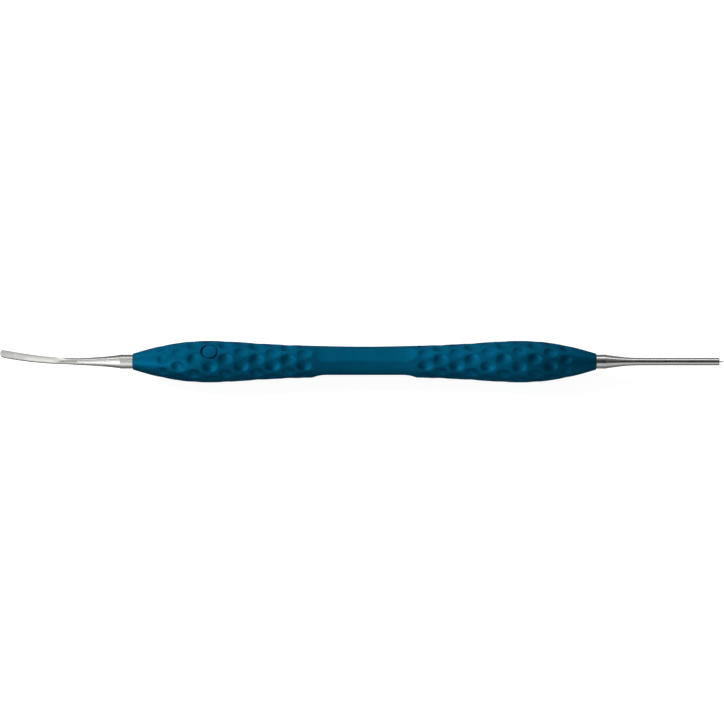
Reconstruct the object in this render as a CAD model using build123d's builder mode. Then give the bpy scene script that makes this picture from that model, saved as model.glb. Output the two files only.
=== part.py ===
from build123d import *

import os
from math import cos, degrees, radians, sin, sqrt, tan

# Double-ended dental elevator. A dimpled polymer grip sits on a steel core tube. A curved elevator
# blade is bonded into one end and a straight rod with a fine point into the other.
#
# Millimetres. +X runs along the axis, from the blade to the rod. +Z is up, through the middle of
# the identification disc and of one waist flat, and the blade curves up towards it. The origin is
# on the axis, halfway along the grip. Every piece but the disc, its tag and its pocket is placed
# on that axis, and the whole instrument is symmetric about the XZ plane.

# ---- Grip body, before anything is cut from it --------------------------------------------------
GRIP_HALF_LENGTH = 56.8
GRIP_END_ROUND = 0.25
BULGE_RADIUS = 5.11  # where the grip is thickest
# (distance from the middle, radius) from the waist to the end
GRIP_OUTLINE = [
    (0.0, 3.70),
    (13.0, 3.93),
    (26.0, 4.49),
    (37.9, BULGE_RADIUS),
    (43.3, 4.88),
    (47.6, 4.27),
    (52.6, 3.19),
    (GRIP_HALF_LENGTH, 1.98),
]

# ---- Waist flats --------------------------------------------------------------------------------
FLAT_COUNT = 3
FLAT_DISTANCE = 3.28  # from the axis to each flat
FLAT_HALF_LENGTH = 9.4
RUNOUT_RADIUS = 9.0  # the flat curves up into the body on this arc
RUNOUT_ANGLE = 22

# ---- Dimples ------------------------------------------------------------------------------------
DIMPLES_PER_RING = 8
RINGS_PER_SIDE = 10
FIRST_RING_X = 14.8
RING_PITCH = 3.84
DIMPLE_BALL_RADIUS = 3.6
DIMPLE_DEPTH = 0.46
END_DIMPLE_DEPTH = 0.32  # the ring next to each end is shallower
DISC_RING = 6  # counted from the waist: the ring whose top dimple makes way for the disc

# ---- Identification disc and the tag under it ---------------------------------------------------
DISC_X = -(FIRST_RING_X + DISC_RING * RING_PITCH)
POCKET_RADIUS = 1.95
POCKET_FLOOR_Z = 2.36
MOUTH_CHAMFER_Z = 4.68  # the pocket flares at 45 degrees above this height
MOUTH_CHAMFER_RISE = 1.0  # which takes the flare clear of the grip
TAG_RADIUS = 1.5
TAG_THICKNESS = 0.9
DISC_BODY_RADIUS = 1.92
DISC_FACE_RADIUS = 1.70  # narrower than the pocket, which leaves a groove round the face
DISC_BASE_Z = 3.30
DISC_SHOULDER_Z = 4.58
DISC_TOP_Z = 5.26
DISC_DOME_RADIUS = 9.0
DISC_EDGE_ROUND = 0.12
TAG_EDGE_ROUND = 0.15

# ---- Core tube, and the bores that hold the tangs -----------------------------------------------
TUBE_HALF_LENGTH = 50.0
TUBE_RADIUS = 2.0
BORE_RADIUS = 1.2
BOND_GAP = 0.03  # the film of primer or adhesive between two bonded pieces
KEY_GROOVE_X = [8.0, 24.0, 46.0]  # the grip keys into these grooves round the tube, on each side
KEY_GROOVE_WIDTH = 2.0
KEY_GROOVE_DEPTH = 0.15

# ---- Collars, tangs and seals, the same on both working ends ------------------------------------
COLLAR_RADIUS = 1.73
COLLAR_BEVEL = 0.06
TANG_RADIUS = BORE_RADIUS - BOND_GAP
TANG_INNER_X = 38.0  # distance from the middle to the hidden end of the tang
TANG_CHAMFER = 0.3
BOND_GROOVES = 4
FIRST_BOND_GROOVE_X = 40.5
BOND_GROOVE_PITCH = 2.4
BOND_GROOVE_WIDTH = 0.8
BOND_GROOVE_DEPTH = 0.12
SEAL_X = 53.6
SEAL_RING_RADIUS = 0.985
SEAL_SECTION_RADIUS = 0.20
SEAL_GROOVE_WIDTH = 0.46
SEAL_GROOVE_RADIUS = 0.77

# ---- Blade end, at -X ---------------------------------------------------------------------------
BLADE_COLLAR_LENGTH = 3.1
# (distance from the middle, radius) of the neck, from past the collar to the blade
BLADE_NECK = [(62.4, 1.36), (65.2, 1.12), (67.8, 0.95), (70.3, 0.85)]
# Sections of the blade: distance from the middle, height of the centre line, slope in degrees,
# width, thickness, then two fractions of the half size: the height of the inner face's middle,
# and how far out the corners stand. The face is hollow where the first is less than the second.
ROUND_CORNER = sqrt(0.5)
BLADE_SECTIONS = [
    (70.3, 0.00, 0.0, 1.70, 1.70, 1.00, ROUND_CORNER),
    (72.8, 0.25, 5.5, 1.62, 1.36, 0.95, 0.74),
    (75.0, 0.45, 7.0, 1.72, 1.00, 0.85, 0.82),
    (78.6, 0.97, 11.5, 1.80, 0.80, 0.80, 0.87),
    (83.6, 2.18, 17.5, 1.98, 0.77, 0.80, 0.89),
    (89.7, 4.30, 19.0, 2.06, 0.68, 0.80, 0.90),
]
TIP_X = 89.10
TIP_Z = 4.09  # the end of the blade's centre line
TIP_SLOPE = 19.0
TIP_THICKNESS = 0.69
TIP_ROUND_RADIUS = 1.06  # of the blade's end, seen from above
TIP_BEVEL_LENGTH = 1.3  # the outer face is ground thin over this length
TIP_BEVEL_ANGLE = 20.0
TIP_CUT_REACH = 2.0  # how far the cuts that shape the end go past the blade

# ---- Rod end, at +X -----------------------------------------------------------------------------
ROD_COLLAR_LENGTH = 2.5
ROD_RADIUS = 0.92
# (distance from the middle, radius) of the neck, from past the collar to the straight rod
ROD_NECK = [(62.2, 1.28), (64.1, 1.07), (66.4, 0.95), (69.0, ROD_RADIUS)]
ROD_END_X = 87.0
ROD_END_CHAMFER = 0.12
POINT_RADIUS = 0.16
POINT_CLEARANCE = 0.02
POINT_LENGTH = 1.08  # that stands out of the rod
POINT_SEAT = 3.0  # that is fixed in the rod
POINT_TAPER_LENGTH = 0.45
POINT_TIP_RADIUS = 0.09

os.makedirs("parts", exist_ok=True)


def save(piece, label):
    """Label a finished piece and write it as its own STEP file."""
    piece.part.label = label
    export_step(piece.part, f"parts/{label}.step")
    print(f"{label}: {len(piece.part.solids())} solid, {piece.part.volume:.3f} mm3")


def grooved(points, radius, grooves):
    """Add square grooves, each given as (middle, width, floor radius), to a half section."""
    for middle, width, floor in grooves:
        near, far = middle - width / 2, middle + width / 2
        points += [(near, radius), (near, floor), (far, floor), (far, radius)]
    return points


# ---- Core tube, and the room that the grip has for it -------------------------------------------
def tube_outline(gap):
    """The outside of the core tube, grown by a gap, as a half section closed on the axis."""
    end, radius = TUBE_HALF_LENGTH + gap, TUBE_RADIUS + gap
    middles = [-x for x in reversed(KEY_GROOVE_X)] + KEY_GROOVE_X
    grooves = [(x, KEY_GROOVE_WIDTH - 2 * gap, radius - KEY_GROOVE_DEPTH) for x in middles]
    points = grooved([(-end, 0), (-end, radius)], radius, grooves)
    return points + [(end, radius), (end, 0)]


with BuildPart() as core_tube:
    with BuildSketch():
        with BuildLine():
            Polyline(*tube_outline(0), close=True)
        make_face()
    revolve(axis=Axis.X)
    with Locations(Rotation(0, 90, 0)):
        Cylinder(BORE_RADIUS, 2 * TUBE_HALF_LENGTH, mode=Mode.SUBTRACT)
save(core_tube, "core_tube")


# ---- Grip ---------------------------------------------------------------------------------------
with BuildLine() as grip_profile:
    far_side = [(-x, radius) for x, radius in reversed(GRIP_OUTLINE[1:])]
    grip_wave = Spline(far_side + GRIP_OUTLINE)
    Polyline(grip_wave @ 1, (GRIP_HALF_LENGTH, 0), (-GRIP_HALF_LENGTH, 0), grip_wave @ 0)


def outline_point(x):
    """The point and the outward normal of the grip's outline at x."""
    point = grip_wave.find_intersection_points(Axis((x, 0, 0), (0, 1, 0)))[0]
    tangent = grip_wave.tangent_at(grip_wave.param_at_point(point))
    return point, Vector(-tangent.Y, tangent.X)


def dimple_places(side, ring):
    """Where the balls that press one ring of dimples into the grip are, each with +Z outwards."""
    depth = END_DIMPLE_DEPTH if ring == RINGS_PER_SIDE - 1 else DIMPLE_DEPTH
    point, outward = outline_point(side * (FIRST_RING_X + ring * RING_PITCH))
    centre = point + outward * (DIMPLE_BALL_RADIUS - depth)
    stagger = 0.5 * (ring % 2)
    for index in range(DIMPLES_PER_RING):
        if side < 0 and ring == DISC_RING and index == 0:
            continue  # the disc is here
        angle = radians((index + stagger) * 360 / DIMPLES_PER_RING)
        place = (centre.X, centre.Y * sin(angle), centre.Y * cos(angle))
        yield Location(place, (-degrees(angle), 0, 0))


with BuildPart() as grip:
    with BuildSketch():
        add(grip_profile.line)
        make_face()
    revolve(axis=Axis.X)
    fillet(grip.edges().filter_by(GeomType.CIRCLE), GRIP_END_ROUND)

    # Each waist flat runs out at both ends on an arc.
    for index in range(FLAT_COUNT):
        with BuildSketch(Plane.XZ.rotated((index * 360 / FLAT_COUNT, 0, 0))):
            with BuildLine():
                floor = Line((-FLAT_HALF_LENGTH, FLAT_DISTANCE), (FLAT_HALF_LENGTH, FLAT_DISTANCE))
                right = JernArc(floor @ 1, (1, 0), RUNOUT_RADIUS, RUNOUT_ANGLE)
                left = JernArc(floor @ 0, (-1, 0), RUNOUT_RADIUS, -RUNOUT_ANGLE)
                top = FLAT_DISTANCE + RUNOUT_RADIUS
                Polyline(right @ 1, ((right @ 1).X, top), ((left @ 1).X, top), left @ 1)
            make_face()
        extrude(amount=top, both=True, mode=Mode.SUBTRACT)

    # The disc's pocket, with its flared mouth, before the dimples because it is quicker.
    with BuildSketch(Plane.XY.offset(POCKET_FLOOR_Z)):
        with Locations((DISC_X, 0)):
            Circle(POCKET_RADIUS)
    extrude(amount=BULGE_RADIUS, mode=Mode.SUBTRACT)
    with BuildSketch(Plane.XY.offset(MOUTH_CHAMFER_Z)):
        with Locations((DISC_X, 0)):
            Circle(POCKET_RADIUS)
    extrude(amount=MOUTH_CHAMFER_RISE, taper=-45, mode=Mode.SUBTRACT)

    # Room for the core tube, then a bore at each end for the tangs.
    with BuildSketch():
        with BuildLine():
            Polyline(*tube_outline(BOND_GAP), close=True)
        make_face()
    revolve(axis=Axis.X, mode=Mode.SUBTRACT)
    with Locations(Rotation(0, 90, 0)):
        Cylinder(BORE_RADIUS, 2 * GRIP_HALF_LENGTH, mode=Mode.SUBTRACT)

    for side in (-1, 1):
        for ring in range(RINGS_PER_SIDE):
            # Each ball lies with its poles along X and its seam outside the grip.
            with Locations(*dimple_places(side, ring)):
                Sphere(DIMPLE_BALL_RADIUS, rotation=(0, -90, 0), mode=Mode.SUBTRACT)
save(grip, "grip")


# ---- Identification disc and tag ----------------------------------------------------------------
with BuildPart() as id_tag:
    with Locations((DISC_X, 0, POCKET_FLOOR_Z + BOND_GAP)):
        Cylinder(TAG_RADIUS, TAG_THICKNESS, align=(Align.CENTER, Align.CENTER, Align.MIN))
    fillet(id_tag.edges().filter_by(GeomType.CIRCLE), TAG_EDGE_ROUND)
save(id_tag, "id_tag")

with BuildPart() as id_disc:
    dome_drop = DISC_DOME_RADIUS - sqrt(DISC_DOME_RADIUS**2 - DISC_FACE_RADIUS**2)
    with BuildSketch(Plane.XZ.move(Location((DISC_X, 0, 0)))):
        with BuildLine():
            outline = Polyline(
                (0, DISC_TOP_Z),
                (0, DISC_BASE_Z),
                (DISC_BODY_RADIUS, DISC_BASE_Z),
                (DISC_BODY_RADIUS, DISC_SHOULDER_Z),
                (DISC_FACE_RADIUS, DISC_SHOULDER_Z),
                (DISC_FACE_RADIUS, DISC_TOP_Z - dome_drop),
            )
            RadiusArc(outline @ 1, outline @ 0, -DISC_DOME_RADIUS)
        make_face()
        rim = vertices().group_by(Axis.X)[-2].sort_by(Axis.Y)[-1]
        fillet(rim, DISC_EDGE_ROUND)
    revolve(axis=Axis((DISC_X, 0, 0), (0, 0, 1)))
save(id_disc, "id_disc")


# ---- Working ends -------------------------------------------------------------------------------
def outward(side):
    """A plane whose X points away from the middle on one side, for half sections about the axis."""
    return Plane(origin=(0, 0, 0), x_dir=(side, 0, 0), z_dir=(0, 0, 1))


def holder_outline(collar_length):
    """The half section that both ends share: tang with its grooves, shoulder and collar."""
    bond_floor = TANG_RADIUS - BOND_GROOVE_DEPTH
    grooves = [
        (FIRST_BOND_GROOVE_X + index * BOND_GROOVE_PITCH, BOND_GROOVE_WIDTH, bond_floor)
        for index in range(BOND_GROOVES)
    ]
    grooves.append((SEAL_X, SEAL_GROOVE_WIDTH, SEAL_GROOVE_RADIUS))
    points = [
        (TANG_INNER_X, 0),
        (TANG_INNER_X, TANG_RADIUS - TANG_CHAMFER),
        (TANG_INNER_X + TANG_CHAMFER, TANG_RADIUS),
    ]
    points = grooved(points, TANG_RADIUS, grooves)
    collar_end = GRIP_HALF_LENGTH + collar_length
    return points + [
        (GRIP_HALF_LENGTH, TANG_RADIUS),
        (GRIP_HALF_LENGTH, COLLAR_RADIUS - COLLAR_BEVEL),
        (GRIP_HALF_LENGTH + COLLAR_BEVEL, COLLAR_RADIUS),
        (collar_end - COLLAR_BEVEL, COLLAR_RADIUS),
        (collar_end, COLLAR_RADIUS - COLLAR_BEVEL),
    ]


def blade_section(x, z, slope, width, thickness, middle, corner):
    """One section of the blade, four arcs with a hollow inner face, square to its centre line."""
    slope = radians(slope)
    plane = Plane(origin=(-x, 0, z), x_dir=(0, 1, 0), z_dir=(-cos(slope), 0, sin(slope)))
    half_width, half_thickness = width / 2, thickness / 2
    side, top = corner * half_width, corner * half_thickness
    with BuildSketch(plane) as section:
        with BuildLine():
            ThreePointArc((-side, top), (0, middle * half_thickness), (side, top))
            ThreePointArc((side, top), (half_width, 0), (side, -top))
            ThreePointArc((side, -top), (0, -half_thickness), (-side, -top))
            ThreePointArc((-side, -top), (-half_width, 0), (-side, top))
        make_face()
    return section.sketch


with BuildPart() as elevator_blade:
    loft([blade_section(*section) for section in BLADE_SECTIONS])

    # The end is rounded across, and ground thin from the outer face.
    tip_tilt = radians(TIP_SLOPE)
    along = Vector(-cos(tip_tilt), 0, sin(tip_tilt))
    face_up = Vector(sin(tip_tilt), 0, cos(tip_tilt))
    tip = Vector(-TIP_X, 0, TIP_Z)
    with BuildSketch(Plane(origin=tip, x_dir=along, z_dir=face_up)):
        with Locations((-TIP_ROUND_RADIUS, 0)):
            span = TIP_ROUND_RADIUS + TIP_CUT_REACH
            Rectangle(span, 2 * span, align=(Align.MIN, Align.CENTER))
        with Locations((-TIP_ROUND_RADIUS, 0)):
            Circle(TIP_ROUND_RADIUS, mode=Mode.SUBTRACT)
    extrude(amount=TIP_CUT_REACH, both=True, mode=Mode.SUBTRACT)
    with BuildSketch(Plane(origin=tip, x_dir=along, z_dir=(0, 1, 0))):
        rise = (TIP_BEVEL_LENGTH + TIP_CUT_REACH) * tan(radians(TIP_BEVEL_ANGLE))
        with BuildLine():
            Polyline(
                (-TIP_BEVEL_LENGTH, -TIP_THICKNESS / 2),
                (TIP_CUT_REACH, rise - TIP_THICKNESS / 2),
                (TIP_CUT_REACH, -TIP_CUT_REACH),
                (-TIP_BEVEL_LENGTH, -TIP_CUT_REACH),
                close=True,
            )
        make_face()
    extrude(amount=TIP_CUT_REACH, both=True, mode=Mode.SUBTRACT)

    with BuildSketch(outward(-1)):
        with BuildLine():
            holder = Polyline(holder_outline(BLADE_COLLAR_LENGTH))
            neck = Spline([holder @ 1] + BLADE_NECK)
            Polyline(neck @ 1, (BLADE_NECK[-1][0], 0), (TANG_INNER_X, 0))
        make_face()
    revolve(axis=Axis.X)
save(elevator_blade, "elevator_blade")

with BuildPart() as probe_rod:
    with BuildSketch(outward(1)):
        with BuildLine():
            holder = Polyline(holder_outline(ROD_COLLAR_LENGTH))
            neck = Spline([holder @ 1] + ROD_NECK)
            Polyline(
                neck @ 1,
                (ROD_END_X - ROD_END_CHAMFER, ROD_RADIUS),
                (ROD_END_X, ROD_RADIUS - ROD_END_CHAMFER),
                (ROD_END_X, POINT_RADIUS + POINT_CLEARANCE),
                (ROD_END_X - POINT_SEAT, POINT_RADIUS + POINT_CLEARANCE),
                (ROD_END_X - POINT_SEAT, 0),
                (TANG_INNER_X, 0),
            )
        make_face()
    revolve(axis=Axis.X)
save(probe_rod, "probe_rod")

with BuildPart() as probe_point:
    with BuildSketch():
        with BuildLine():
            point_end = ROD_END_X + POINT_LENGTH
            outline = Polyline(
                (point_end - POINT_TIP_RADIUS, 0),
                (ROD_END_X - POINT_SEAT + POINT_CLEARANCE, 0),
                (ROD_END_X - POINT_SEAT + POINT_CLEARANCE, POINT_RADIUS),
                (point_end - POINT_TAPER_LENGTH, POINT_RADIUS),
                (point_end - POINT_TIP_RADIUS, POINT_TIP_RADIUS),
            )
            JernArc(outline @ 1, (1, 0), POINT_TIP_RADIUS, -90)
            Line((point_end, 0), (point_end - POINT_TIP_RADIUS, 0))
        make_face()
    revolve(axis=Axis.X)
save(probe_point, "probe_point")

# ---- Seals, one in the groove of each tang ------------------------------------------------------
for side, label in ((-1, "blade_seal"), (1, "rod_seal")):
    with BuildPart(Plane.YZ.offset(side * SEAL_X)) as seal:
        Torus(SEAL_RING_RADIUS, SEAL_SECTION_RADIUS)
    save(seal, label)
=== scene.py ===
"""The looks of the dental elevator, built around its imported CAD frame, in metres.

The grip, the disc, the blade, the rod and its point are made again here as fine meshes on the
same dimensions as the CAD pieces. The pieces sealed inside the grip stay as the CAD made them.
"""

import math

import bmesh
import bpy
import numpy as np
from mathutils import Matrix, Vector


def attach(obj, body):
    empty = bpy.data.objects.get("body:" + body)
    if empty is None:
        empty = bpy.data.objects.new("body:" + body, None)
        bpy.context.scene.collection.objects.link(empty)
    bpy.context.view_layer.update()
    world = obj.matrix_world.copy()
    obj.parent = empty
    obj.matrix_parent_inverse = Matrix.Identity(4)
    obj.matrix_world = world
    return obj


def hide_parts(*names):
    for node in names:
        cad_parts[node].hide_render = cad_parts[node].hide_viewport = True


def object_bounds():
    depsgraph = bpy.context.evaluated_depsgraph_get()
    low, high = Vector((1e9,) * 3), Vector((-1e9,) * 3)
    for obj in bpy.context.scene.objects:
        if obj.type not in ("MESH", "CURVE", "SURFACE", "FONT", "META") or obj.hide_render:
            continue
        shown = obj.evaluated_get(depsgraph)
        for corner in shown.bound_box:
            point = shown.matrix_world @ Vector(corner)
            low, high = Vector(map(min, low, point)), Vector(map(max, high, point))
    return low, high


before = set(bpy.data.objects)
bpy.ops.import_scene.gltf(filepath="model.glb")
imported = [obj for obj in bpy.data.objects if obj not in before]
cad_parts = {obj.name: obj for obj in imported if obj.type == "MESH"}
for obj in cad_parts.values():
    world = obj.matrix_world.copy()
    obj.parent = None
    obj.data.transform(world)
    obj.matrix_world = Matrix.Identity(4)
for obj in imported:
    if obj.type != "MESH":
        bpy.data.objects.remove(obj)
cad_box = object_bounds()

MM = 0.001

# ---- Dimensions, in millimetres as in the CAD model ---------------------------------------------
GRIP_HALF_LENGTH = 56.8
GRIP_END_ROUND = 0.25
# (distance from the middle, radius) from the waist to the end
GRIP_OUTLINE = [
    (0.0, 3.70),
    (13.0, 3.93),
    (26.0, 4.49),
    (37.9, 5.11),
    (43.3, 4.88),
    (47.6, 4.27),
    (52.6, 3.19),
    (GRIP_HALF_LENGTH, 1.98),
]
FLAT_COUNT = 3
FLAT_DISTANCE = 3.28
FLAT_HALF_LENGTH = 9.4
RUNOUT_RADIUS = 9.0
FLAT_EDGE_SOFTNESS = 0.02  # how much the flats' edges are rounded, which the CAD leaves sharp

DIMPLES_PER_RING = 8
RINGS_PER_SIDE = 10
FIRST_RING_X = 14.8
RING_PITCH = 3.84
DIMPLE_BALL_RADIUS = 3.6
DIMPLE_DEPTH = 0.46
END_DIMPLE_DEPTH = 0.32
DIMPLE_RIM_SOFTNESS = 0.06  # and the dimples' rims
DIMPLE_REACH = 3.0  # no dimple reaches further than this along the axis
DISC_RING = 6

GRIP_STATIONS = 436  # rings of points along the grip
GRIP_SEGMENTS = 195  # points in each, a multiple of three, so that each flat has its own share
FAR_OUT = 99.0  # stands for a surface that isn't there

DISC_X = -(FIRST_RING_X + DISC_RING * RING_PITCH)
POCKET_RADIUS = 1.95
POCKET_FLOOR_Z = 2.36
MOUTH_CHAMFER_Z = 4.68
MOUTH_SOFTNESS = 0.06
DISC_BODY_RADIUS = 1.92
DISC_FACE_RADIUS = 1.70
DISC_BASE_Z = 3.30
DISC_SHOULDER_Z = 4.58
DISC_TOP_Z = 5.26
DISC_DOME_RADIUS = 9.0
DISC_EDGE_ROUND = 0.12

# the room for the core tube, with its film of primer
CAVITY_HALF_LENGTH = 50.03
CAVITY_RADIUS = 2.03
BORE_RADIUS = 1.2

COLLAR_RADIUS = 1.73
COLLAR_BEVEL = 0.06
TANG_RADIUS = 1.17
TANG_INNER_X = 38.0
TANG_CHAMFER = 0.3
SEAL_X = 53.6
SEAL_GROOVE_WIDTH = 0.46
SEAL_GROOVE_RADIUS = 0.77

BLADE_COLLAR_LENGTH = 3.1
# (distance from the middle, radius) of the neck, from past the collar to the blade
BLADE_NECK = [(62.4, 1.36), (65.2, 1.12), (67.8, 0.95), (70.3, 0.85)]
# distance from the middle, height, slope, width, thickness, middle and corner fractions
BLADE_SECTIONS = [
    (70.3, 0.00, 0.0, 1.70, 1.70, 1.00, math.sqrt(0.5)),
    (72.8, 0.25, 5.5, 1.62, 1.36, 0.95, 0.74),
    (75.0, 0.45, 7.0, 1.72, 1.00, 0.85, 0.82),
    (78.6, 0.97, 11.5, 1.80, 0.80, 0.80, 0.87),
    (83.6, 2.18, 17.5, 1.98, 0.77, 0.80, 0.89),
    (89.7, 4.30, 19.0, 2.06, 0.68, 0.80, 0.90),
]
TIP_X = 89.10
TIP_Z = 4.09
TIP_SLOPE = 19.0
TIP_THICKNESS = 0.69
TIP_ROUND_RADIUS = 1.06
TIP_BEVEL_LENGTH = 1.3
TIP_BEVEL_ANGLE = 20.0
TIP_CUT_REACH = 4.0  # how far the cuts that shape the end go past the blade

ROD_COLLAR_LENGTH = 2.5
ROD_RADIUS = 0.92
ROD_NECK = [(62.2, 1.28), (64.1, 1.07), (66.4, 0.95), (69.0, ROD_RADIUS)]
ROD_END_X = 87.0
ROD_END_CHAMFER = 0.12
POINT_RADIUS = 0.16
POINT_CLEARANCE = 0.02
POINT_LENGTH = 1.08
POINT_SEAT = 3.0
POINT_TAPER_LENGTH = 0.45
POINT_TIP_RADIUS = 0.09

# ---- Camera and view ----------------------------------------------------------------------------
CAMERA_ELEVATION = 60  # degrees above the horizon, on the -Y side
CAMERA_DISTANCE = 1.2  # metres
SENSOR_WIDTH = 36.0  # of the lens and its film, in mm
FIELD_WIDTH = 0.17752  # metres that the picture's width takes in, at the object
TARGET_X = -0.613  # the middle of the picture, in mm from the origin
TARGET_DROP = 0.09  # and how far below the axis it is in the picture


class Curve:
    """A natural cubic through knots (x, y), worked out on whole arrays at once."""

    def __init__(self, knots):
        self.x, self.y = (np.array(column, float) for column in zip(*knots))
        x, y, count = self.x, self.y, len(knots)
        step, rise = np.diff(x), np.diff(y)
        left, right = np.eye(count), np.zeros(count)
        for i in range(1, count - 1):
            left[i, i - 1 : i + 2] = step[i - 1], 2 * (step[i - 1] + step[i]), step[i]
            right[i] = 6 * (rise[i] / step[i] - rise[i - 1] / step[i - 1])
        self.bend = np.linalg.solve(left, right)

    def __call__(self, at):
        i = np.clip(np.searchsorted(self.x, at) - 1, 0, len(self.x) - 2)
        step = self.x[i + 1] - self.x[i]
        a, b = (self.x[i + 1] - at) / step, (at - self.x[i]) / step
        bent = ((a**3 - a) * self.bend[i] + (b**3 - b) * self.bend[i + 1]) * step**2 / 6
        return a * self.y[i] + b * self.y[i + 1] + bent


# ---- Mesh helpers -------------------------------------------------------------------------------
def skin(name, rings, looped=False):
    """A mesh through rings of points in mm, closed on itself if looped, else capped at both ends."""
    rings = np.array(rings, float) * MM
    count, around = rings.shape[:2]
    spans = count if looped else count - 1
    index = np.arange(count * around).reshape(count, around)
    here, there = index[:spans], np.roll(index, -1, axis=0)[:spans]
    quads = np.stack([here, np.roll(here, -1, axis=1), np.roll(there, -1, axis=1), there], axis=-1)
    faces = quads.reshape(-1, 4).tolist()
    if not looped:
        faces += [index[0][::-1].tolist(), index[-1].tolist()]
    mesh = bpy.data.meshes.new(name)
    mesh.from_pydata(rings.reshape(-1, 3).tolist(), [], faces)
    shape = bmesh.new()
    shape.from_mesh(mesh)
    bmesh.ops.recalc_face_normals(shape, faces=shape.faces)
    shape.to_mesh(mesh)
    shape.free()
    piece = bpy.data.objects.new(name, mesh)
    bpy.context.collection.objects.link(piece)
    return piece


def turned(name, profile, segments=96):
    """A mesh turned about the X axis from (x, radius) points."""
    angles = np.linspace(0, 2 * math.pi, segments, endpoint=False)
    rings = [
        np.stack([np.full(segments, x), r * np.sin(angles), r * np.cos(angles)], axis=1)
        for x, r in profile
    ]
    return skin(name, rings)


def smooth(piece, angle=35):
    """Smooth shading, with edges sharper than the angle kept crisp."""
    piece.data.shade_smooth()
    piece.data.set_sharp_from_angle(angle=math.radians(angle))


def carve(piece, tool):
    """Take the tool's solid away from the piece, and delete the tool."""
    cut = piece.modifiers.new("cut", "BOOLEAN")
    cut.operation, cut.solver, cut.object = "DIFFERENCE", "EXACT", tool
    worked_out = piece.evaluated_get(bpy.context.evaluated_depsgraph_get())
    result = bpy.data.meshes.new_from_object(worked_out)
    piece.modifiers.clear()
    piece.data = result
    result.name = piece.name
    bpy.data.objects.remove(tool)


def arc(centre, radius, start, end, steps):
    """Points on an arc in a half section, angles in degrees."""
    for angle in np.radians(np.linspace(start, end, steps)):
        yield centre[0] + radius * math.cos(angle), centre[1] + radius * math.sin(angle)


# ---- Grip ---------------------------------------------------------------------------------------
def least(a, b, softness):
    """The lesser of two surfaces, with the edge between them rounded."""
    near = np.maximum(softness - np.abs(a - b), 0) / softness
    return np.minimum(a, b) - near**2 * softness / 4


def flat_distance(x):
    """How far the waist flats are from the axis: they run out on an arc at each end."""
    past = np.clip(np.abs(x) - FLAT_HALF_LENGTH, 0, RUNOUT_RADIUS * 0.99)
    return FLAT_DISTANCE + RUNOUT_RADIUS - np.sqrt(RUNOUT_RADIUS**2 - past**2)


def follow_ridges(angle, x, outline):
    """Turn the grid's angles a little, so that its lines run along the long edges of the flats."""
    third = 2 * math.pi / FLAT_COUNT
    steps = angle.shape[1] / FLAT_COUNT
    edge = np.arccos(np.minimum(flat_distance(x) / outline(x), 1))
    home = round(math.acos(FLAT_DISTANCE / GRIP_OUTLINE[0][1]) / third * steps) / steps * third
    edge = np.where(edge > home / 2, edge, home)
    off = (angle + third / 2) % third - third / 2
    inner = off / home * edge
    outer = third / 2 - (third / 2 - np.abs(off)) / (third / 2 - home) * (third / 2 - edge)
    return angle - off + np.where(np.abs(off) <= home, inner, np.sign(off) * outer)


def add_flats(radius, x, angle):
    """Cut the waist flats from a surface radius(x, angle)."""
    distance = flat_distance(x)
    for index in range(FLAT_COUNT):
        facing = np.cos(angle - index * 2 * math.pi / FLAT_COUNT)
        flat = np.where(facing > 0.3, distance / np.maximum(facing, 0.3), FAR_OUT)
        radius = least(radius, flat, FLAT_EDGE_SOFTNESS)
    return radius


def add_dimples(radius, x, angle, outline):
    """Press every ring of dimples but the one under the disc into a surface radius(x, angle)."""
    for side in (-1, 1):
        for ring in range(RINGS_PER_SIDE):
            middle = side * (FIRST_RING_X + ring * RING_PITCH)
            depth = END_DIMPLE_DEPTH if ring == RINGS_PER_SIDE - 1 else DIMPLE_DEPTH
            slope = math.atan((outline(middle + 0.01) - outline(middle - 0.01)) / 0.02)
            out = DIMPLE_BALL_RADIUS - depth
            ball_x, ball_r = middle - out * math.sin(slope), outline(middle) + out * math.cos(slope)
            rows = np.abs(x[:, 0] - middle) < DIMPLE_REACH
            for index in range(DIMPLES_PER_RING):
                if side < 0 and ring == DISC_RING and index == 0:
                    continue
                away = angle[rows] - (index + 0.5 * (ring % 2)) * 2 * math.pi / DIMPLES_PER_RING
                room = DIMPLE_BALL_RADIUS**2 - (x[rows] - ball_x) ** 2 - (ball_r * np.sin(away)) ** 2
                inside = (room > 0) & (np.cos(away) > 0)
                ball = np.where(inside, ball_r * np.cos(away) - np.sqrt(np.maximum(room, 0)), FAR_OUT)
                radius[rows] = least(radius[rows], ball, DIMPLE_RIM_SOFTNESS)
    return radius


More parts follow.
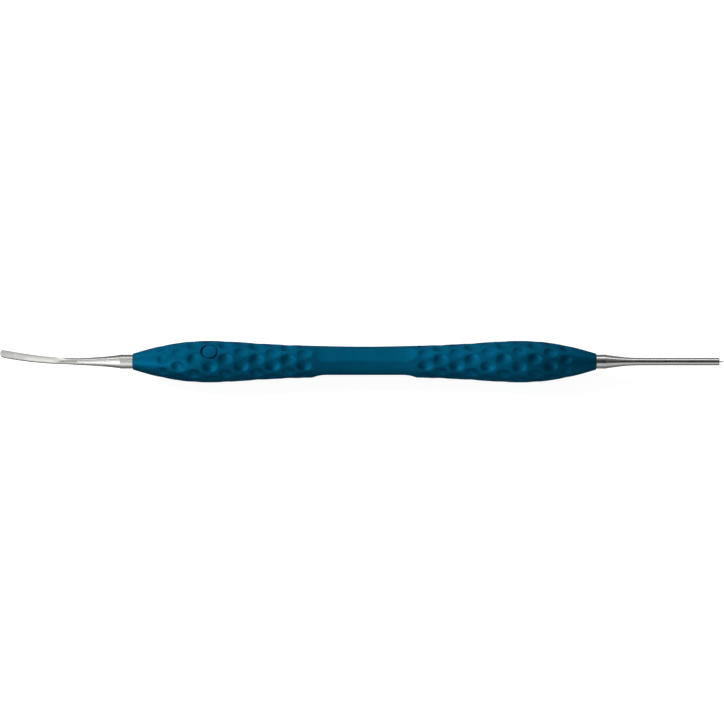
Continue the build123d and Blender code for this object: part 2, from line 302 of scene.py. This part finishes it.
def make_grip():
    """The polymer body: a fine outer surface, rounded ends, and the room inside for the tube."""
    outline = Curve([(-x, r) for x, r in reversed(GRIP_OUTLINE[1:])] + GRIP_OUTLINE)
    last = GRIP_HALF_LENGTH - GRIP_END_ROUND
    x, angle = np.meshgrid(
        np.linspace(-last, last, GRIP_STATIONS),
        np.linspace(0, 2 * math.pi, GRIP_SEGMENTS, endpoint=False),
        indexing="ij",
    )
    angle = follow_ridges(angle, x, outline)
    radius = add_flats(outline(x), x, angle)
    radius = add_dimples(radius, x, angle, outline)

    def ring(at, r, around=angle[0]):
        r = np.broadcast_to(r, around.shape)
        return np.stack([np.full(GRIP_SEGMENTS, at), r * np.sin(around), r * np.cos(around)], axis=1)

    outer = [ring(x[i, 0], radius[i], angle[i]) for i in range(GRIP_STATIONS)]
    corner = outline(last) - GRIP_END_ROUND
    end = list(arc((last, corner), GRIP_END_ROUND, 75, 0, 6))
    end += [(GRIP_HALF_LENGTH, COLLAR_RADIUS), (GRIP_HALF_LENGTH, BORE_RADIUS)]
    inner = [(CAVITY_HALF_LENGTH, BORE_RADIUS), (CAVITY_HALF_LENGTH, CAVITY_RADIUS)]
    far = end + inner
    rings = outer + [ring(a, r) for a, r in far] + [ring(-a, r) for a, r in reversed(far)]
    return skin("grip_body", rings, looped=True)


def about_disc(name, profile, segments=96):
    """A mesh turned about the disc's own vertical axis from (radius, z) points, from the top down."""
    angles = np.linspace(0, 2 * math.pi, segments, endpoint=False)
    rings = [
        np.stack([DISC_X + r * np.cos(angles), r * np.sin(angles), np.full(segments, z)], axis=1)
        for r, z in profile
    ]
    return skin(name, rings)


def pocket_tool():
    """The space that the disc's pocket takes out of the grip, with a flared mouth."""
    flare, clear_z = 1.4, 7.0
    profile = [
        (0.01, clear_z),
        (POCKET_RADIUS + flare, clear_z),
        (POCKET_RADIUS + flare, MOUTH_CHAMFER_Z + flare),
        (POCKET_RADIUS + MOUTH_SOFTNESS, MOUTH_CHAMFER_Z + MOUTH_SOFTNESS),
        (POCKET_RADIUS, MOUTH_CHAMFER_Z - MOUTH_SOFTNESS),
        (POCKET_RADIUS, POCKET_FLOOR_Z),
        (0.01, POCKET_FLOOR_Z),
    ]
    return about_disc("pocket_tool", profile)


def make_disc():
    """The identification disc: domed face, rounded rim, and a shoulder that seats it in the pocket."""
    edge_z = DISC_TOP_Z - DISC_FACE_RADIUS**2 / (2 * DISC_DOME_RADIUS)
    dome = [
        (r, DISC_TOP_Z - r**2 / (2 * DISC_DOME_RADIUS))
        for r in np.linspace(0.02, DISC_FACE_RADIUS - DISC_EDGE_ROUND, 16)
    ]
    rim = arc((DISC_FACE_RADIUS - DISC_EDGE_ROUND, edge_z - DISC_EDGE_ROUND), DISC_EDGE_ROUND, 80, 0, 7)
    body = [
        (DISC_FACE_RADIUS, DISC_SHOULDER_Z),
        (DISC_BODY_RADIUS, DISC_SHOULDER_Z),
        (DISC_BODY_RADIUS, DISC_BASE_Z),
        (0.02, DISC_BASE_Z),
    ]
    return about_disc("disc", dome + list(rim) + body)


# ---- Steel ends ---------------------------------------------------------------------------------
def holder(collar_length):
    """The half section that both ends share: tang, seal groove, shoulder and collar."""
    collar_end = GRIP_HALF_LENGTH + collar_length
    seal_near, seal_far = SEAL_X - SEAL_GROOVE_WIDTH / 2, SEAL_X + SEAL_GROOVE_WIDTH / 2
    return [
        (TANG_INNER_X, TANG_RADIUS - TANG_CHAMFER),
        (TANG_INNER_X + TANG_CHAMFER, TANG_RADIUS),
        (seal_near, TANG_RADIUS),
        (seal_near, SEAL_GROOVE_RADIUS),
        (seal_far, SEAL_GROOVE_RADIUS),
        (seal_far, TANG_RADIUS),
        (GRIP_HALF_LENGTH, TANG_RADIUS),
        (GRIP_HALF_LENGTH, COLLAR_RADIUS - COLLAR_BEVEL),
        (GRIP_HALF_LENGTH + COLLAR_BEVEL, COLLAR_RADIUS),
        (collar_end - COLLAR_BEVEL, COLLAR_RADIUS),
        (collar_end, COLLAR_RADIUS - COLLAR_BEVEL),
    ]


def neck(start, knots, steps=48):
    """The neck's half section, smooth from the collar through its knots."""
    curve = Curve([start] + knots)
    return [(x, float(curve(x))) for x in np.linspace(start[0], knots[-1][0], steps)[1:]]


def blade_ring(x, z, slope, width, thickness, middle, corner, steps=14):
    """One ring of the blade: four arcs that meet at its corners."""
    half_width, half_thickness = width / 2, thickness / 2
    side, top = corner * half_width, corner * half_thickness
    spans = [
        ((-side, top), (0, middle * half_thickness), (side, top)),
        ((side, top), (half_width, 0), (side, -top)),
        ((side, -top), (0, -half_thickness), (-side, -top)),
        ((-side, -top), (-half_width, 0), (-side, top)),
    ]
    share = np.linspace(0, 1, steps, endpoint=False)[:, None]
    points = []
    for start, through, end in np.array(spans):
        # A parabola through the three points is within a hundredth of a millimetre of the arc.
        turn = 2 * through - (start + end) / 2
        points.append((1 - share) ** 2 * start + 2 * share * (1 - share) * turn + share**2 * end)
    across, up = np.concatenate(points).T
    tilt = math.radians(slope)
    return np.stack([-x + up * math.sin(tilt), across, z + up * math.cos(tilt)], axis=1)


def make_blade():
    """The elevator end: tang, collar, neck and blade in one, with its end rounded and thinned."""
    columns = list(zip(*BLADE_SECTIONS))
    curves = [Curve(list(zip(columns[0], column))) for column in columns[1:]]
    stations = np.linspace(columns[0][0], columns[0][-1], 90)
    blade = [blade_ring(x, *(float(curve(x)) for curve in curves)) for x in stations]
    collar = holder(BLADE_COLLAR_LENGTH)
    profile = collar + neck(collar[-1], BLADE_NECK)[:-1]
    circle = blade[0] - blade[0].mean(axis=0)
    circle[:, 0] = 0
    circle /= np.linalg.norm(circle, axis=1)[:, None]
    round_part = [circle * r + np.array([-x, 0, 0]) for x, r in profile]
    piece = skin("elevator_end", round_part + blade)

    tilt = math.radians(TIP_SLOPE)

    def placed(along, across, up):
        """A point given from the end of the blade's centre line, along it, across it and up."""
        return (
            -TIP_X - along * math.cos(tilt) + up * math.sin(tilt),
            across,
            TIP_Z + along * math.sin(tilt) + up * math.cos(tilt),
        )

    reach, start = TIP_CUT_REACH, -TIP_ROUND_RADIUS
    outside = list(arc((start, 0), TIP_ROUND_RADIUS, -90, 90, 25))
    outside += [(start, reach), (reach, reach), (reach, -reach), (start, -reach)]
    end_rings = [[placed(along, across, up) for along, across in outside] for up in (-reach, reach)]
    carve(piece, skin("end_tool", end_rings))
    rise = (TIP_BEVEL_LENGTH + reach) * math.tan(math.radians(TIP_BEVEL_ANGLE))
    start, low = -TIP_BEVEL_LENGTH, -TIP_THICKNESS / 2
    wedge = [(start, low), (reach, low + rise), (reach, -reach), (start, -reach)]
    wedge_rings = [[placed(along, across, up) for along, up in wedge] for across in (-reach, reach)]
    carve(piece, skin("bevel_tool", wedge_rings))
    return piece


def make_rod():
    """The rod end: tang, collar, neck and a straight rod with a hole for the point."""
    collar = holder(ROD_COLLAR_LENGTH)
    profile = collar + neck(collar[-1], ROD_NECK)
    hole = POINT_RADIUS + POINT_CLEARANCE
    profile += [
        (ROD_END_X - ROD_END_CHAMFER, ROD_RADIUS),
        (ROD_END_X, ROD_RADIUS - ROD_END_CHAMFER),
        (ROD_END_X, hole),
        (ROD_END_X - POINT_SEAT, hole),
    ]
    return turned("rod_end", profile)


def make_point():
    """The fine point, tapered to a small round tip."""
    end = ROD_END_X + POINT_LENGTH
    profile = [
        (ROD_END_X - POINT_SEAT + POINT_CLEARANCE, POINT_RADIUS),
        (end - POINT_TAPER_LENGTH, POINT_RADIUS),
    ]
    profile += arc((end - POINT_TIP_RADIUS, 0), POINT_TIP_RADIUS, 80, 5, 8)
    return turned("rod_point", profile, segments=48)


# ---- Materials ----------------------------------------------------------------------------------
class Nodes:
    """A new material's node tree, with short ways to add and join nodes."""

    def __init__(self, name, **values):
        self.material = bpy.data.materials.new(name)
        self.material.use_nodes = True
        self.tree = self.material.node_tree
        self.shader = self.tree.nodes["Principled BSDF"]
        for socket, value in values.items():
            self.shader.inputs[socket.replace("_", " ")].default_value = value
        self.place = self.add("ShaderNodeTexCoord").outputs["Object"]

    def add(self, kind, inputs=(), **settings):
        node = self.tree.nodes.new(kind)
        for name, value in settings.items():
            setattr(node, name, value)
        for socket, value in dict(inputs).items():
            if isinstance(value, bpy.types.NodeSocket):
                self.tree.links.new(value, node.inputs[socket])
            else:
                node.inputs[socket].default_value = value
        return node

    def noise(self, size_mm, detail=2.0, stretch=(1, 1, 1)):
        """Noise whose grains are about size_mm across, divided by stretch along each axis."""
        scaled = self.add("ShaderNodeMapping", {"Vector": self.place, "Scale": stretch})
        inputs = {"Vector": scaled.outputs[0], "Scale": 1 / (size_mm * MM), "Detail": detail}
        return self.add("ShaderNodeTexNoise", inputs).outputs["Fac"]

    def spread(self, value, low, high, start=0.35, end=0.65):
        """A value from start to end drawn out to low to high."""
        inputs = {"Value": value, 1: start, 2: end, 3: low, 4: high}
        return self.add("ShaderNodeMapRange", inputs).outputs["Result"]

    def mix(self, factor, one, other):
        mixed = self.add("ShaderNodeMix", data_type="RGBA")
        self.tree.links.new(factor, mixed.inputs["Factor"])
        for socket, value in ((6, one), (7, other)):
            if isinstance(value, bpy.types.NodeSocket):
                self.tree.links.new(value, mixed.inputs[socket])
            else:
                mixed.inputs[socket].default_value = (*value, 1)
        return mixed.outputs[2]

    def bump(self, height, depth_mm, strength=1.0, under=None):
        inputs = {"Height": height, "Distance": depth_mm * MM, "Strength": strength}
        if under:
            inputs["Normal"] = under
        return self.add("ShaderNodeBump", inputs).outputs["Normal"]

    def set(self, **sockets):
        for socket, value in sockets.items():
            self.tree.links.new(value, self.shader.inputs[socket.replace("_", " ")])
        return self.material


def polymer(name, low, high):
    """Satin moulded polymer: two close tones, rims painted paler (a painted highlight with a little
    rubbed wear), and a fine spark texture.
    """
    made = Nodes(name, Metallic=0.5, Specular_IOR_Level=0.02, Specular_Tint=(0.05, 0.4, 0.6, 1))
    tone = made.mix(made.spread(made.noise(9, 3), 0, 1), low, high)
    # Paler rims: a painted highlight where convex rims catch the light, with a little rubbed wear.
    rim_highlight_and_wear = tuple(c * 1.3 for c in high)
    # Pointiness is 0.5 where the surface is flat, and more along a rim.
    edge = made.spread(made.add("ShaderNodeNewGeometry").outputs["Pointiness"], 0, 0.6, 0.51, 0.60)
    colour = made.mix(edge, tone, rim_highlight_and_wear)
    speckle = made.noise(0.10, 3)
    grain = made.bump(speckle, 0.006, 0.5)
    soft = made.bump(made.noise(0.8, 2), 0.01, 0.5, under=grain)
    rough = made.spread(made.noise(0.5, 3), 0.38, 0.48)
    return made.set(Base_Color=colour, Roughness=rough, Normal=soft)


def steel(name, stretch, colour=(0.56, 0.555, 0.54), rough=(0.17, 0.23), depth_mm=0.0005):
    """Satin stainless steel with fine polishing lines, which run across the stretched axis."""
    made = Nodes(name, Metallic=1.0)
    darker = tuple(c * 0.95 for c in colour)
    lines = made.noise(0.6, 4, stretch)
    tone = made.mix(made.spread(lines, 0, 1), darker, colour)
    patches = made.noise(2.5, 3)
    roughness = made.spread(patches, *rough)
    normal = made.bump(lines, depth_mm, 0.6)
    return made.set(Base_Color=tone, Roughness=roughness, Normal=normal)


def rubber(name):
    """Dark seal rubber with a dull, slightly dusty skin."""
    made = Nodes(name, Specular_IOR_Level=0.3)
    tone = made.mix(made.spread(made.noise(0.4, 3), 0, 1), (0.012, 0.012, 0.013), (0.03, 0.03, 0.032))
    rough = made.spread(made.noise(0.15, 2), 0.55, 0.75)
    return made.set(Base_Color=tone, Roughness=rough, Normal=made.bump(made.noise(0.06, 2), 0.004, 0.5))


def ceramic(name):
    """The tag's dark moulded capsule."""
    made = Nodes(name, Specular_IOR_Level=0.4)
    tone = made.mix(made.spread(made.noise(0.6, 3), 0, 1), (0.02, 0.02, 0.022), (0.045, 0.045, 0.05))
    rough = made.spread(made.noise(0.2, 2), 0.3, 0.5)
    return made.set(Base_Color=tone, Roughness=rough, Normal=made.bump(made.noise(0.08, 2), 0.002, 0.4))


def paint(piece, material):
    piece.data.materials.clear()
    piece.data.materials.append(material)


# ---- Pieces -------------------------------------------------------------------------------------
GRIP_BLUES = (0.0004, 0.062, 0.120), (0.0008, 0.075, 0.147)
DISC_BLUES = (0.0004, 0.064, 0.131), (0.0008, 0.079, 0.162)
ACROSS_LINES = (9, 0.25, 0.25)  # stretch that makes lines run round the axis
ALONG_LINES = (0.12, 6, 6)  # and along it

grip = make_grip()
carve(grip, pocket_tool())
disc = make_disc()
blade = make_blade()
rod = make_rod()
point = make_point()

grip_polymer = polymer("grip_polymer", *GRIP_BLUES)
disc_polymer = polymer("disc_polymer", *DISC_BLUES)
turned_steel = steel("turned_steel", ACROSS_LINES)
blade_steel = steel("blade_steel", ALONG_LINES, rough=(0.26, 0.34))
tube_steel = steel("tube_steel", ALONG_LINES, colour=(0.52, 0.52, 0.51))

for piece, node, slot, material in (
    (grip, "grip", "grip_polymer", grip_polymer),
    (disc, "id_disc", "disc_polymer", disc_polymer),
    (blade, "elevator_blade", "working_steel", blade_steel),
    (rod, "probe_rod", "working_steel", turned_steel),
    (point, "probe_point", "working_steel", turned_steel),
):
    smooth(piece)
    paint(piece, material)
    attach(piece, "root")
    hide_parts(node)

seal_rubber = rubber("seal_rubber")
for node, material in (
    ("core_tube", tube_steel),
    ("id_tag", ceramic("tag_ceramic")),
    ("blade_seal", seal_rubber),
    ("rod_seal", seal_rubber),
):
    paint(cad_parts[node], material)


# ---- Floor, light and camera, in metres ---------------------------------------------------------
def direction(across, up, towards):
    """A unit vector from how far it leans right, up and towards the camera in the picture."""
    elevation = math.radians(CAMERA_ELEVATION)
    camera_side = Vector((0, -math.cos(elevation), math.sin(elevation)))
    picture_up = Vector((0, math.sin(elevation), math.cos(elevation)))
    return (Vector((1, 0, 0)) * across + picture_up * up + camera_side * towards).normalized()


def softbox(name, where, distance, size, power, aim=Vector((0, 0, 0)), card=False):
    """A rectangular light. A card only shows in what shines, and the others only light things up."""
    light = bpy.data.lights.new(name, "AREA")
    light.shape, light.size, light.size_y, light.energy = "RECTANGLE", size[0], size[1], power
    lamp = bpy.data.objects.new(name, light)
    lamp.location = aim + where * distance
    lamp.rotation_euler = (-where).to_track_quat("-Z", "Y").to_euler()
    lamp.visible_diffuse, lamp.visible_glossy = not card, card
    bpy.context.collection.objects.link(lamp)


def round_x(degrees):
    """The direction square to the X axis that leans this far from straight up towards the back."""
    return Vector((0, math.sin(math.radians(degrees)), math.cos(math.radians(degrees))))


floor_half = 3.0
floor_z = cad_box[0].z
floor_mesh = bpy.data.meshes.new("floor")
corners = [
    (x * floor_half, y * floor_half, floor_z) for x, y in ((-1, -1), (1, -1), (1, 1), (-1, 1))
]
floor_mesh.from_pydata(corners, [], [(0, 1, 2, 3)])
floor = bpy.data.objects.new("floor", floor_mesh)
bpy.context.collection.objects.link(floor)
white = Nodes("floor_white", Roughness=0.9, Specular_IOR_Level=0.1, Emission_Strength=0.95)
white.shader.inputs["Emission Color"].default_value = (1, 1, 1, 1)
floor_tone = white.mix(white.spread(white.noise(30, 2), 0, 1), (0.18, 0.18, 0.18), (0.19, 0.19, 0.19))
white.set(Base_Color=floor_tone)
paint(floor, white.material)
# The floor shows, and takes a faint shadow, but throws no light on the instrument.
floor.visible_diffuse = floor.visible_glossy = floor.visible_shadow = False

# Each light's direction, then its distance and size in metres and its power in watts. The two lamps
# shape the polymer, and the cards are what the steel mirrors: strips along the back and the front,
# and a brighter pair towards the blade.
softbox("key_light", direction(-0.80, 0.52, 0.30), 0.9, (0.30, 0.30), 20.5)
softbox("fill_light", direction(0.10, -0.95, 0.25), 0.9, (0.50, 0.30), 2.4)
softbox("back_strip", round_x(38), 1.0, (1.45, 0.38), 3.0, aim=Vector((-0.375, 0, 0)), card=True)
softbox("back_strip_right", round_x(38), 1.0, (0.75, 0.38), 1.0, aim=Vector((0.725, 0, 0)), card=True)
softbox("front_strip", round_x(-84), 1.0, (1.2, 0.95), 1.9, card=True)
softbox("left_card", round_x(-38), 0.5, (0.50, 1.1), 1.9, aim=Vector((-0.31, 0, 0)), card=True)
softbox("left_lamp", direction(-0.56, -0.22, 0.80), 0.6, (0.25, 0.25), 0.9, card=True)

world = bpy.data.worlds.new("studio")
bpy.context.scene.world = world
world.use_nodes = True
nodes, links = world.node_tree.nodes, world.node_tree.links
room, backdrop = nodes["Background"], nodes.new("ShaderNodeBackground")
backdrop.inputs["Color"].default_value = (0.86, 0.87, 0.88, 1)
facing = nodes.new("ShaderNodeVectorMath")
facing.operation = "DOT_PRODUCT"
facing.inputs[1].default_value = direction(0, 0, 1)
links.new(nodes.new("ShaderNodeTexCoord").outputs["Generated"], facing.inputs[0])
opening = nodes.new("ShaderNodeMapRange")
opening.interpolation_type = "SMOOTHSTEP"
# The room is a dim white, with a dark opening round the camera, which the steel mirrors too.
room_limits = {"From Min": 0.86, "From Max": 0.96, "To Min": 0.24, "To Max": 0.02}
for socket, value in room_limits.items():
    opening.inputs[socket].default_value = value
links.new(facing.outputs["Value"], opening.inputs["Value"])
links.new(opening.outputs["Result"], room.inputs["Strength"])
room.inputs["Color"].default_value = (1, 1, 1, 1)
chosen = nodes.new("ShaderNodeMixShader")
links.new(nodes.new("ShaderNodeLightPath").outputs["Is Camera Ray"], chosen.inputs[0])
links.new(room.outputs[0], chosen.inputs[1])
links.new(backdrop.outputs[0], chosen.inputs[2])
links.new(chosen.outputs[0], nodes["World Output"].inputs["Surface"])

scene = bpy.context.scene
scene.view_settings.view_transform = "Standard"
lens = bpy.data.cameras.new("camera")
lens.sensor_width = SENSOR_WIDTH
lens.lens = SENSOR_WIDTH * CAMERA_DISTANCE / FIELD_WIDTH
lens.clip_start, lens.clip_end = 0.01, 20
camera = bpy.data.objects.new("camera", lens)
towards = direction(0, 0, 1)
target = Vector((TARGET_X * MM, 0, 0)) - direction(0, 1, 0) * TARGET_DROP * MM
camera.location = target + towards * CAMERA_DISTANCE
camera.rotation_euler = (-towards).to_track_quat("-Z", "Y").to_euler()
bpy.context.collection.objects.link(camera)
scene.camera = camera
